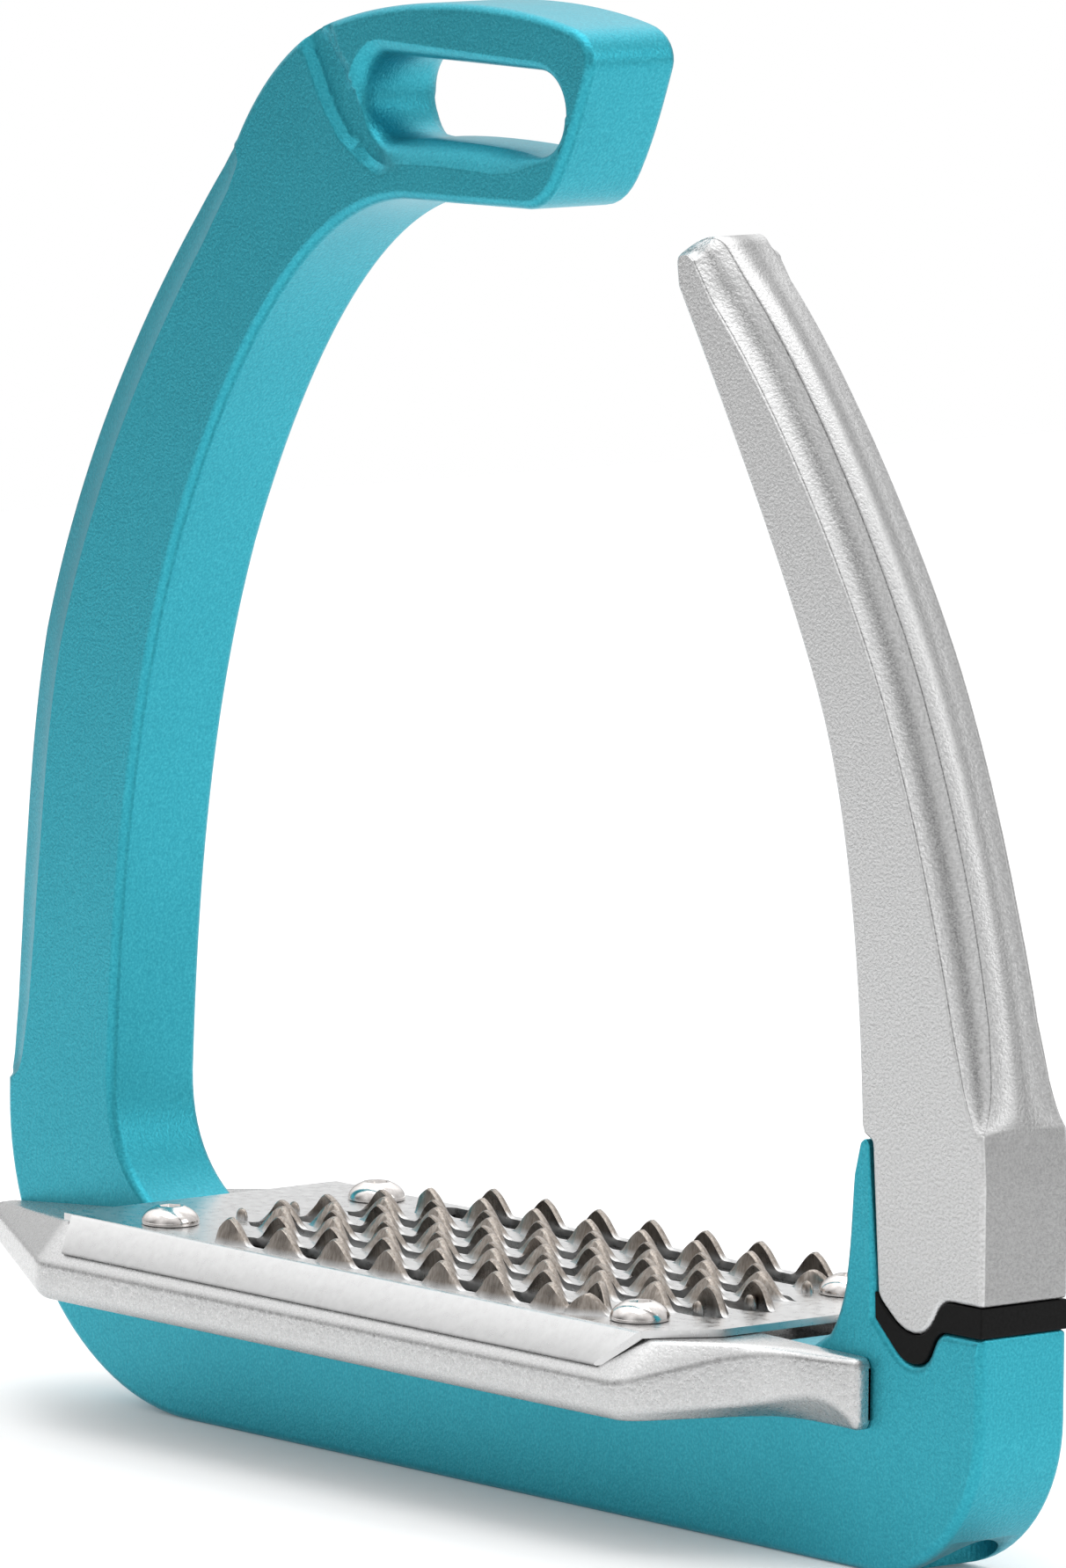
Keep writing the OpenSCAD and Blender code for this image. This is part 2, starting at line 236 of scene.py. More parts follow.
def slab_mesh(name, outline, edge_at, holes=(), hole_edge_at=None, half=slab_half,
              relief=None, inner=()):
    """Flat piece standing in the X-Z plane, in mm, with worked edges on both faces.
    relief(x, z) is how far the front and rear faces are sunk there, and inner holds
    the points at which they are measured."""
    bm = bmesh.new()
    # each vertex keeps how much painted shade the arm's colour gets there
    crease_shade = bm.verts.layers.float.new("crease_shade")
    loops = [(outline, edge_at)] + [(h, hole_edge_at) for h in holes]
    face_loops = []
    for points, profile_at in loops:
        base = [Vector(p) for p in points]
        normals = inward(points)
        profiles = [profile_at(*p) for p in points]
        inset_rows = []
        for j in range(len(profiles[0])):
            moved = [b + n * prof[j][0] for b, n, prof in zip(base, normals, profiles)]
            inset_rows.append(untangle(base, moved))
        rows = []
        for side in (-1, 1):
            order = range(len(inset_rows))
            for j in (reversed(order) if side < 0 else order):
                row = []
                for p, prof in zip(inset_rows[j], profiles):
                    down = max(prof[j][1], relief(p.x, p.y)) if relief else prof[j][1]
                    vert = bm.verts.new((p.x, side * (half - down), p.y))
                    vert[crease_shade] = prof[j][2]
                    row.append(vert)
                rows.append(row)
        for low, high in zip(rows, rows[1:]):
            for k in range(len(low)):
                m = (k + 1) % len(low)
                bm.faces.new((low[k], low[m], high[m], high[k]))
        face_loops.append((rows[0], rows[-1]))
    for side in (0, 1):
        rims = [[(v.co.x, v.co.z) for v in pair[side]] for pair in face_loops]
        verts = [v for pair in face_loops for v in pair[side]]
        places, origins, faces = filled(rims, inner)
        made = []
        for co, from_verts in zip(places, origins):
            near = [o for o in from_verts if o < len(verts)]
            if near:
                made.append(verts[near[0]])
            else:
                down = relief(co.x, co.y) if relief else 0.0
                made.append(bm.verts.new((co.x, (half - down) * (1 if side else -1), co.y)))
        for tri in faces:
            corners = [made[k] for k in tri]
            if len(set(corners)) == 3:
                bm.faces.new(corners if not side else corners[::-1])
    bmesh.ops.remove_doubles(bm, verts=bm.verts[:], dist=0.002)
    bmesh.ops.dissolve_degenerate(bm, dist=0.001, edges=bm.edges[:])
    loose = [v for v in bm.verts if not v.link_faces]
    bmesh.ops.delete(bm, geom=loose, context="VERTS")
    bmesh.ops.recalc_face_normals(bm, faces=bm.faces[:])
    for v in bm.verts:
        v.co *= MM
    return placed(name, bm)


seat_line = ([(base_right, 26.4)]
             + bend((75.8, 26.4), (74.5, 26.4), (74.0, 25.6), (73.5, 24.5), 5)
             + bend((73.5, 24.5), (73.0, 23.2), (72.2, 22.5), (70.8, 22.5), 5)
             + bend((70.8, 22.5), (69.6, 22.5), (68.8, 22.9), (68.1, 23.5), 4)
             + [(68.1, 23.5), (64.8, 26.5)])
frame_line = (
    arc(base_right - foot_round, foot_round, foot_round, -90, 0, 18) + seat_line
    + [(64.6, 30), (63.5, 44.2), (62.9, 44.9), (62.2, 44.4)]
    + bend((61.3, 41), (60.6, 36), (60.6, 26.5), (56.5, 23.0), 12)
    + [(54.5, 22.2), (ledge_x1, 22.2), (ledge_x1, ledge_z), (ledge_x0, ledge_z), (ledge_x0, 22.5)]
    + bend((-55, 22.7), (-59.5, 25.3), (-62.6, 29.5), (-62.5, 36), 12)
    + bend((-62.5, 36), (-61.8, 58), (-59.3, 77), (-52.2, 95.2), 30)
    + bend((-52.2, 95.2), (-46, 110), (-33, 134.2), (-13.8, 135.8), 36)
    + [(-13.8, 135.8), (7, 136.2)]
    + bend((7, 136.2), (9.5, 136.4), (11, 138), (12.2, 140), 6)
    + bend((12.2, 140), (14.5, 143.8), (16, 148), (17.2, 151.2), 8)
    + bend((17.2, 151.2), (17.8, 153), (16.5, 155.2), (13.5, 155.7), 8)
    + bend((13.5, 155.7), (3, 157.9), (-13, 157.7), (-25, 154.2), 26)
    + bend((-25, 154.2), (-32, 152.4), (-38, 147.2), (-42, 140.5), 16)
    + bend((-42, 140.5), (-54.5, 128.5), (-70.5, 107), (-77.1, 84), 40)
    + bend((-77.1, 84), (-80.5, 70), (base_left, 52), (base_left, branch_round), 30)
    + arc(base_left + branch_round, branch_round, branch_round, 180, 270, 30))
# how far the flute reaches in from the outer edge of the branch, by height, and how
# deep its slope and its hollow are for each mm of that
flute_reach = ((33.5, 0.0), (34.6, 2.0), (36.5, 2.8), (42.7, 3.9), (51, 4.6), (61, 5.1),
               (66.5, 5.2), (82.6, 5.3), (91.5, 5.3), (100.5, 5.2), (114, 4.9), (126.5, 4.5),
               (131.7, 4.2), (137, 3.4), (139.5, 2.4), (140.6, 0.0))
flute_slope = 0.42
flute_hollow = 0.07
branch_middle = ((30, -71), (60, -70), (84, -66), (95, -62), (110, -54), (131, -39), (141, -33))
spike_x, spike_foot, spike_tip = 60, 27, 46


def frame_edge(x, z):
    """Deburred edge, finer towards the tip of the spike, and the flute of the branch."""
    radius = 1.0
    if x > spike_x and z > spike_foot:
        radius = max(0.25, min(0.8, (spike_tip - z) * 0.05))
    wide = lookup(z, flute_reach) if x < lookup(z, branch_middle) else 0.0
    return edge_profile(radius, wide, wide * flute_slope, wide * flute_hollow)


slot_r = 4.4
slot_line = (arc(-16.6, 146.5, slot_r, 90, 180) + arc(-16.6, 146.3, slot_r, 180, 270)[:-1]
             + bend((-16.6, 141.9), (-12.0, 142.4), (-4.0, 142.6), (8.4, 141.8), 10)
             + arc(8.4, 146.2, slot_r, 270, 360) + arc(8.6, 146.5, slot_r, 0, 90))[::-1]


def slot_edge(x, z):
    """Bulged chamfer of the slot, larger at its left end and along its lower edge."""
    left = ease((-13 - x) / 6)
    low = ease((145.5 - z) / 3.5) * ease((9 - x) / 7)
    return edge_profile(0.8, 1.2 + max(0.6 * left, 1.5 * low), 1.2 + max(1.2 * left, 0.9 * low),
                        -0.3 - 0.2 * left)


def side_of(x, z, line):
    """Distance of a point to the right of an open line that runs downwards."""
    best = None
    for (xa, za), (xb, zb) in zip(line, line[1:]):
        ux, uz = xb - xa, zb - za
        t = min(1, max(0, ((x - xa) * ux + (z - za) * uz) / (ux * ux + uz * uz)))
        dx, dz = x - xa - t * ux, z - za - t * uz
        d = math.hypot(dx, dz)
        sign = 1 if ux * dz - uz * dx > 0 else -1
        if best is None or d < abs(best):
            best = sign * d
    return best


notch_left = ((-32.0, 154.0), (-30.3, 150.9), (-26.5, 144.5), (-23.9, 141.6), (-20.2, 139.2),
              (-15.0, 138.4))
notch_step = ((-30.2, 155.6), (-21.6, 145.9))
notch_right = ((-26.8, 156.0), (-25.6, 153.7), (-21.4, 145.9))
notch_wall = 0.45
notch_deep = 0.95
notch_shelf = 0.5
notch_fork = 145.9


def eye_relief(x, z):
    """Shallow notch cut across the face where the branch meets the eye. Above the fork its
    right part is a higher shelf, and below it the notch runs out under the slot."""
    if not (-34 < x < -12 and 136 < z < 157):
        return 0.0
    sunk = ease(side_of(x, z, notch_left) / notch_wall)
    if z > notch_fork:
        sunk *= ease(-side_of(x, z, notch_right) / notch_wall)
        return sunk * (notch_deep - notch_shelf * ease(side_of(x, z, notch_step) / notch_wall))
    return notch_deep * sunk * ease((-14.5 - x) / 4.5)


eye_grid = 0.4
eye_points = []
for i in range(56):
    for j in range(50):
        stagger = eye_grid / 2 if j % 2 else 0
        eye_points.append((-34 + i * eye_grid + stagger, 137 + j * eye_grid))
# rows of points along the foot and the head of each little wall keep it crisp
for line, wall_side in ((notch_left, 1), (notch_step, 1), (notch_right, -1)):
    eye_points = [p for p in eye_points if not -0.3 < side_of(*p, line) * wall_side < 0.75]
    for (xa, za), (xb, zb) in zip(line, line[1:]):
        long = math.hypot(xb - xa, zb - za)
        nx, nz = -(zb - za) / long * wall_side, (xb - xa) / long * wall_side
        for k in range(math.ceil(long / eye_grid)):
            t = k * eye_grid / long
            x, z = xa + (xb - xa) * t, za + (zb - za) * t
            eye_points += [(x, z), (x + nx * notch_wall, z + nz * notch_wall)]


frame_rim = even(soften(frame_line, 0.6), 1.1)


def clear_of(p, line, gap):
    """True where no point of the line is within gap of p."""
    return min(math.hypot(p[0] - a, p[1] - b) for a, b in line) > gap


eye_points = [p for p in eye_points
              if inside(p, frame_rim) and not inside(p, slot_line)
              and clear_of(p, frame_rim, 1.7) and clear_of(p, slot_line, 3.3)]
forging = slab_mesh("forged_frame", frame_rim, frame_edge, [slot_line], slot_edge,
                    relief=eye_relief, inner=eye_points)


def cut(obj, cutter):
    """Takes cutter away from obj and removes the cutter."""
    mod = obj.modifiers.new("cut", "BOOLEAN")
    mod.object = cutter
    mod.solver = "EXACT"
    bpy.context.view_layer.update()
    graph = bpy.context.evaluated_depsgraph_get()
    done = bpy.data.meshes.new_from_object(obj.evaluated_get(graph))
    obj.modifiers.remove(mod)
    obj.data = done
    bpy.data.objects.remove(cutter)


def drill(x, z0, z1, d):
    """Upright cylinder in mm on the middle plane of the slab, to cut with."""
    bm = bmesh.new()
    bmesh.ops.create_cone(bm, cap_ends=True, segments=48, radius1=d / 2, radius2=d / 2,
                          depth=z1 - z0, matrix=Matrix.Translation((x, 0, (z0 + z1) / 2)))
    for v in bm.verts:
        v.co *= MM
    return placed("drill", bm, smooth=False)


# from below the hole of the anchor plug, and above it the bore of the draw spring
plug_hole, plug_hole_top = 8.2, 12.7
base_bore = 6.4
cut(forging, drill(spring_x, -2, plug_hole_top, plug_hole))
cut(forging, drill(spring_x, 10, 30, base_bore))


def new_material(name):
    """Empty finish: the material, its tree, its shader and the object's own coordinates."""
    mat = bpy.data.materials.new(name)
    mat.use_nodes = True
    tree = mat.node_tree
    shader = tree.nodes["Principled BSDF"]
    coords = tree.nodes.new("ShaderNodeTexCoord")
    return mat, tree, shader, coords.outputs["Object"]


def noise(tree, vector, scale, detail, rough=0.55):
    """Cloudy pattern with that many spots to the metre."""
    node = tree.nodes.new("ShaderNodeTexNoise")
    node.inputs["Scale"].default_value = scale
    node.inputs["Detail"].default_value = detail
    node.inputs["Roughness"].default_value = rough
    tree.links.new(vector, node.inputs["Vector"])
    return node.outputs["Fac"]


def ramp(tree, value, stops):
    """Colour that runs through the stops, each a place from 0 to 1 and a colour."""
    node = tree.nodes.new("ShaderNodeValToRGB")
    node.color_ramp.elements[0].position = stops[0][0]
    node.color_ramp.elements[0].color = stops[0][1]
    node.color_ramp.elements[1].position = stops[-1][0]
    node.color_ramp.elements[1].color = stops[-1][1]
    for place, colour in stops[1:-1]:
        node.color_ramp.elements.new(place).color = colour
    tree.links.new(value, node.inputs["Fac"])
    return node.outputs["Color"]


def mapped(tree, value, low, high, from_low=0.35, from_high=0.65):
    """Value stretched to low to high, from the range that a noise mostly keeps to."""
    node = tree.nodes.new("ShaderNodeMapRange")
    node.inputs["From Min"].default_value = from_low
    node.inputs["From Max"].default_value = from_high
    node.inputs["To Min"].default_value = low
    node.inputs["To Max"].default_value = high
    tree.links.new(value, node.inputs["Value"])
    return node.outputs["Result"]


def bumped(tree, shader, heights):
    """Chains bumps: each of heights is (value, strength, distance in metres)."""
    normal = None
    for value, strength, distance in heights:
        node = tree.nodes.new("ShaderNodeBump")
        node.inputs["Strength"].default_value = strength
        node.inputs["Distance"].default_value = distance
        tree.links.new(value, node.inputs["Height"])
        if normal:
            tree.links.new(normal, node.inputs["Normal"])
        normal = node.outputs["Normal"]
    tree.links.new(normal, shader.inputs["Normal"])


def grey(v):
    """Neutral colour of that brightness."""
    return (v, v, v, 1)


def blasted_teal():
    """Dyed anodising over a fine blast, a little cloudy."""
    mat, tree, shader, at = new_material("blasted_teal")
    grain = noise(tree, at, 3300, 3)
    fine = noise(tree, at, 6000, 2)
    cloud = noise(tree, at, 60, 3)
    colour = ramp(tree, grain, ((0.30, (0.022, 0.300, 0.385, 1)), (0.5, (0.030, 0.35, 0.44, 1)),
                                (0.72, (0.048, 0.42, 0.515, 1))))
    tree.links.new(colour, shader.inputs["Base Color"])
    tree.links.new(mapped(tree, cloud, 0.33, 0.40), shader.inputs["Roughness"])
    shader.inputs["Metallic"].default_value = 0.78
    bumped(tree, shader, ((fine, 0.25, 0.00004), (grain, 0.55, 0.00011)))
    return mat


def dress(obj, mat, slot, body_name, *nodes):
    """Gives a piece its finish, its body and the CAD nodes it stands for."""
    obj.data.materials.clear()
    obj.data.materials.append(mat)
    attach(obj, body_name)
    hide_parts(*nodes)


dress(forging, blasted_teal(), "frame_teal", "stirrup_frame", "frame")

# --- Release arm ---------------------------------------------------------------
# Separate drop-forged outer branch, blasted and left natural. Its foot has a
# rounded tongue that sits in the groove of the base, and its outer corners are fluted.
foot_z = 29.6
foot_line = ([(65.1, 29.1)]
             + bend((65.6, 28.4), (67.2, 27.1), (68.4, 25.7), (70.6, 25.6), 6)
             + bend((70.6, 25.6), (72.6, 25.6), (73.4, 26.8), (74.0, 27.8), 6)
             + bend((74.0, 27.8), (74.7, 29.2), (75.4, foot_z), (76.4, foot_z), 4)
             + [(76.4, foot_z), (base_right, foot_z)])
tip_x, tip_z, tip_r = 34.15, 132.45, 2.75
tip_top = 135.2
arm_line = (
    foot_line
    + bend((base_right, 42), (80.4, 57), (73.9, 77), (68.5, 89), 30)
    + bend((68.5, 89), (63.2, 101.5), (50, 121.5), (38.8, 131.6), 34)
    + [(38.8, 131.6)]
    + arc(tip_x, tip_z, tip_r, 38, 185, 16)
    + bend((31.7, 130), (39.5, 117.5), (50.5, 99.5), (54.9, 88.6), 30)
    + bend((54.9, 88.6), (59.8, 77), (61.6, 60), (62.2, 46.2), 30)
    + [(62.2, 46.2), (62.6, 45.3), (63.9, 44.6), (65.0, 30)])
# the flute runs up both outer corners of the arm: reach in by height
flute_width = ((46.0, 0.0), (48.0, 1.3), (52, 2.3), (58, 3.0), (70, 3.3))
arm_middle = ((30, 73), (60, 70), (89, 61.5), (110, 50.5), (125, 40), (131, 35.3))
# it goes round the tip and fades down its inner side: reach in and depth, by X on the
# outer side and by height on the inner one, and hollow for each mm of reach by height
tip_start = 130.6
tip_outer = ((tip_x, 2.4), (36.4, 2.7), (39.5, 3.3))
tip_inner = ((131.8, 0.0), (133.3, 0.8), (134.4, 1.5), (tip_top, 2.4))
tip_outer_depth = ((tip_x, 2.9), (36.4, 3.3))
tip_inner_depth = ((131.8, 0.0), (133.3, 1.0), (134.4, 1.9), (tip_top, 2.9))
tip_hollow = ((126, 0.2), (133, 0.04))


def arm_edge(x, z):
    """Small round all over, and the flute along the outer side and over the tip."""
    if z < tip_start:
        wide = deep = lookup(z, flute_width) if x > lookup(z, arm_middle) else 0.0
    elif x > tip_x:
        wide, deep = lookup(x, tip_outer), lookup(x, tip_outer_depth)
    else:
        wide, deep = lookup(z, tip_inner), lookup(z, tip_inner_depth)
    # the last value turns on the painted shade along the flutes
    return edge_profile(0.6, wide, deep, wide * lookup(z, tip_hollow), 1.0)


arm = slab_mesh("release_branch", even(soften(arm_line, 0.5), 0.6), arm_edge)
foot_bore, foot_bore_top = 7.0, 38
dowel_x, dowel_hole, dowel_hole_top = 77.8, 2.8, 32
cut(arm, drill(spring_x, 20, foot_bore_top, foot_bore))
cut(arm, drill(dowel_x, 20, dowel_hole_top, dowel_hole))


def multiplied(tree, colour, factor):
    """Colour times a grey value."""
    node = tree.nodes.new("ShaderNodeMix")
    node.data_type = "RGBA"
    node.blend_type = "MULTIPLY"
    node.inputs["Factor"].default_value = 1.0
    tree.links.new(colour, node.inputs["A"])
    tree.links.new(factor, node.inputs["B"])
    return node.outputs["Result"]


def reckoned(tree, operation, *values):
    """Result of a sum on one or two values."""
    node = tree.nodes.new("ShaderNodeMath")
    node.operation = operation
    for value, socket in zip(values, node.inputs):
        tree.links.new(value, socket)
    return node.outputs["Value"]


def blasted_silver():
    """Blasted aluminium, with painted shade in its flutes and on its side walls."""
    mat, tree, shader, at = new_material("blasted_silver")
    grain = noise(tree, at, 3000, 3)
    fine = noise(tree, at, 5200, 2)
    colour = ramp(tree, grain, ((0.32, grey(0.52)), (0.5, grey(0.60)), (0.7, grey(0.68))))
    # painted shade: the colour is darkened along the flute's ridge lines and in its hollow, by the
    # value kept on each vertex
    mark = tree.nodes.new("ShaderNodeAttribute")
    mark.attribute_name = "crease_shade"
    speck = mapped(tree, fine, 0.55, 1.25)
    crease_shade = reckoned(tree, "MULTIPLY", mark.outputs["Fac"], speck)
    crease_shade_colour = ramp(tree, crease_shade, ((0.0, grey(1.0)), (0.5, grey(0.62)), (1.0, grey(0.26))))
    colour = multiplied(tree, colour, crease_shade_colour)
    # painted shade: faces that do not face front or back (outer and inner sides, tip and foot) are
    # darkened to 0.55 in the colour
    facing = tree.nodes.new("ShaderNodeSeparateXYZ")
    tree.links.new(at.node.outputs["Normal"], facing.inputs["Vector"])
    across = reckoned(tree, "ABSOLUTE", facing.outputs["Y"])
    outer = mapped(tree, across, 0.55, 1.0, 0.08, 0.30)
    colour = multiplied(tree, colour, outer)
    tree.links.new(colour, shader.inputs["Base Color"])
    tree.links.new(mapped(tree, grain, 0.30, 0.42), shader.inputs["Roughness"])
    shader.inputs["Metallic"].default_value = 0.8
    bumped(tree, shader, ((fine, 0.3, 0.00005), (grain, 0.75, 0.00014)))
    return mat


dress(arm, blasted_silver(), "cast_silver", "arm", "release_arm")

# --- Seat gasket -----------------------------------------------------------------
# Moulded black rubber pad that follows the groove of the base, glued to it, and
# turns up as a thin lip between the spike and the arm.
gasket_line = ([(x, z - 0.1) for x, z in foot_line] + seat_line + [(64.68, 29.3)])[::-1]


def gasket_edge(x, z):
    """The same small round all the way about."""
    return edge_profile(0.2)


gasket = slab_mesh("seat_pad", even(soften(gasket_line, 0.25), 0.8), gasket_edge,
                   half=slab_half - 0.05)


def black_rubber():
    """Moulded rubber, nearly black and hardly shiny."""
    mat, tree, shader, at = new_material("black_rubber")
    grain = noise(tree, at, 2500, 3)
    tree.links.new(ramp(tree, grain, ((0.3, grey(0.003)), (0.7, grey(0.009)))),
                   shader.inputs["Base Color"])
    tree.links.new(mapped(tree, grain, 0.42, 0.6), shader.inputs["Roughness"])
    shader.inputs["Specular IOR Level"].default_value = 0.08
    bumped(tree, shader, ((grain, 0.2, 0.00005),))
    return mat


dress(gasket, black_rubber(), "black_rubber", "stirrup_frame", "seat_gasket")

# --- Tread tray ------------------------------------------------------------------
# One sand-cast aluminium piece that straddles the base: a bar in front and behind,
# tapered back to the branch on the left and footed against the base on the right.
face_gap = 6.1
tray_top = 22.65
# by X: half width, height of the outer foot, width and height of the inner foot,
# height of the shoulder, half width of the flat top, height of the top
tray_table = (
    (-79.6, 9.0, 16.9, 8.0, 16.2, 19.7, 8.3, 20.5),
    (-54.2, 22.5, 15.3, 21.5, 14.3, 18.5, 18.5, tray_top),
    (43.6, 22.5, 15.3, 21.5, 14.3, 18.5, 18.5, tray_top),
    (45.4, 20.8, 15.5, 19.4, 14.5, 19.2, 17.6, tray_top),
    (51.0, 13.4, 16.1, 8.6, 14.7, 21.4, 12.4, 22.6),
    (53.5, 11.2, 16.7, 7.4, 14.7, 21.9, 10.2, 22.5),
    (56.5, 9.7, 17.6, 6.9, 14.7, 22.0, 8.7, 22.45),
    (60.0, 9.0, 18.0, 6.9, 14.7, 21.9, 8.1, 22.4),
    (62.0, 8.5, 17.2, 7.2, 14.7, 21.9, 7.8, 22.4),
    (64.4, 7.9, 15.3, 7.6, 14.8, 21.8, 7.4, 22.3))


def tray_values(x):
    """The table's row at x, rounded off where the bar turns."""
    spread = 1.0 if x < 0 else 1.5
    rows = [[lookup(x + spread * k / 4, [(r[0], r[c]) for r in tray_table]) for c in range(1, 8)]
            for k in range(-4, 5)]
    return [sum(col) / len(col) for col in zip(*rows)]


def tray_ring(x, shrink):
    """Section of the front bar at x, drawn in by shrink at the rounded ends."""
    wide, foot_z, inner, low, shoulder, flat, top = tray_values(x)
    corners = [(-face_gap, low), (-inner, low), (-wide, foot_z), (-wide, shoulder),
               (-flat, top), (-face_gap, top)]
    radii = (0.25, 0.5, 0.7, 0.55, 0.5, 0.25)
    ring = []
    n = len(corners)
    for i in range(n):
        p, q, r = (Vector(corners[k % n]) for k in (i - 1, i, i + 1))
        ring += rounded(p, q, r, radii[i], 4)
    middle_y = -face_gap - (wide - face_gap) * 0.5
    middle_z = (low + top) / 2
    out = []
    for p in ring:
        y = min(-face_gap, p.x + shrink * (1 if p.x < middle_y else 0))
        z = p.y + shrink * (1 if p.y < middle_z else -1)
        out.append((x, y, z))
    return out


crease_angle = 38


def loft(name, rings):
    """Closed skin over rings of points, given in mm."""
    bm = bmesh.new()
    made = [[bm.verts.new([c * MM for c in p]) for p in ring] for ring in rings]
    n = len(made[0])
    for low, high in zip(made, made[1:]):
        for k in range(n):
            bm.faces.new((low[k], low[(k + 1) % n], high[(k + 1) % n], high[k]))
    bm.faces.new(made[0])
    bm.faces.new(made[-1])
    bmesh.ops.recalc_face_normals(bm, faces=bm.faces[:])
    return placed(name, bm, crease=crease_angle)


def block(x0, x1, y0, y1, z0, z1):
    """Rectangular block in mm."""
    return loft("block", [[(x, y0, z0), (x, y1, z0), (x, y1, z1), (x, y0, z1)] for x in (x0, x1)])


# X and shrink of each section: close together where the bar turns or its ends round off
stations = [(-79.6, 0.55), (-79.5, 0.3), (-79.3, 0.12), (-79.0, 0.0)]
stations += [(-78 + k, 0.0) for k in range(0, 22)]
stations += [(-56 + 0.3 * k, 0.0) for k in range(0, 13)]
stations += [(-50, 0.0), (-30, 0.0), (0, 0.0), (30, 0.0)]
stations += [(41 + 0.35 * k, 0.0) for k in range(0, 65)]
stations += [(63.85, 0.08), (64.05, 0.22), (64.2, 0.42), (64.32, 0.7), (64.4, 1.05)]
bar = loft("tread_tray_casting", [tray_ring(x, shrink) for x, shrink in stations])
# the trough under the grip plate, which the cuts in the sheet open into
cut(bar, block(-47, 43, -17.6, -7.3, 16, 30))


def joined(name, shells):
    """One mesh from several; each is (object, mirror in Y), and the objects are removed."""
    bm = bmesh.new()
    for obj, flip in shells:
        part = bmesh.new()
        part.from_mesh(obj.data)
        if flip:
            for v in part.verts:
                v.co.y = -v.co.y
            bmesh.ops.reverse_faces(part, faces=part.faces[:])
        mesh = bpy.data.meshes.new("part")
        part.to_mesh(mesh)
        part.free()
        bm.from_mesh(mesh)
        bpy.data.meshes.remove(mesh)
    for obj in {o for o, _ in shells}:
        bpy.data.objects.remove(obj)
    return placed(name, bm, crease=crease_angle)


# the web that lies on the ledge of the base and joins the two bars
saddle = block(-52.6, 49.7, -6.6, 6.6, ledge_z + 0.05, 21.0)
tray = joined("tread_tray_casting", [(bar, False), (bar, True), (saddle, False)])


def sandcast_silver():
    """Sand-cast aluminium: pebbled, and worn smoother on top."""
    mat, tree, shader, at = new_material("sandcast_silver")
    coarse = noise(tree, at, 2100, 3, 0.6)
    fine = noise(tree, at, 5000, 2)
    facing = tree.nodes.new("ShaderNodeSeparateXYZ")
    tree.links.new(at.node.outputs["Normal"], facing.inputs["Vector"])
    worn = mapped(tree, facing.outputs["Z"], 1.0, 0.25, 0.3, 0.8)
    pebbles = reckoned(tree, "MULTIPLY", coarse, worn)
    tree.links.new(ramp(tree, fine, ((0.3, grey(0.47)), (0.7, grey(0.62)))),
                   shader.inputs["Base Color"])
    tree.links.new(mapped(tree, coarse, 0.24, 0.36), shader.inputs["Roughness"])
    shader.inputs["Metallic"].default_value = 0.92
    bumped(tree, shader, ((fine, 0.2, 0.00003), (pebbles, 0.5, 0.00013)))
    return mat


dress(tray, sandcast_silver(), "cast_silver", "stirrup_frame", "tread_tray")

# --- Grip plate --------------------------------------------------------------------
# Stainless sheet, lanced with five wavy cuts whose lips are bent up as teeth, and
# folded down along its front and rear edges over the shoulders of the tray.
sheet_top = 23.5
sheet_low = 22.72
sheet_t = 0.75
strip_step = 0.28
tooth_height = 2.95
tooth_half = 3.2
tooth_pitch = 8.9
tooth_tip_round = 1.3
tooth_root_round = 0.5
# the straight flanks would meet this far above the tip
flank_over = 0.55
# each cut: middle, gap, lean of its teeth into the cut, first front tooth, first rear
# tooth, how many of each, start and end of the slit, length of its pointed tail
lanced_cuts = (
    (-15.0, 4.0, 0.0, -26.7, -24.3, 7, 7, -31.5, 34.2, 6.0),
    (-6.8, 3.0, 0.2, -29.6, -33.0, 8, 9, -37.6, 42.6, 4.0),
    (-0.4, 3.0, 0.2, -28.7, -33.2, 8, 9, -37.8, 42.6, 4.0),
    (6.4, 3.2, 0.2, -28.2, -32.3, 8, 8, -37.0, 38.6, 4.0),
    (15.3, 4.4, 0.0, -30.0, -25.5, 7, 7, -34.5, 35.0, 4.0))
# the tool leaves a smaller tooth at the end of the two outer front lips: middle of the
# cut, X, height and half width
short_teeth = ((-15.0, 31.4, 2.3, 2.5), (15.3, 32.6, 2.1, 1.9))
# how wide the strip beside a cut is, and how far from the middle a strip may reach
lip = 1.5
lip_limit = 18.6


def knee(a, b, round_by):
    """The smaller of a and b, with the corner between them rounded."""
    near = max(0.0, round_by - abs(a - b)) / round_by
    return min(a, b) - near * near * round_by / 4


def tooth_shape(off, half, height):
    """Height of a tooth at a distance from its middle: straight flanks, round tip."""
    if off >= half + 0.3:
        return 0.0
    flank = (half - off) * (height + flank_over) / half
    return -knee(-knee(flank, height, tooth_tip_round), 0.0, tooth_root_round)


def tooth_rise(x, first, count, middle, side):
    """Height of the lip's edge above the sheet at x."""
    k = min(count - 1, max(0, round((x - first) / tooth_pitch)))
    rise = tooth_shape(abs(x - first - k * tooth_pitch), tooth_half, tooth_height)
    for of_cut, at, height, half in short_teeth:
        if of_cut == middle and side < 0:
            rise = max(rise, tooth_shape(abs(x - at), half, height))
    return rise if rise > 0.02 else 0.0


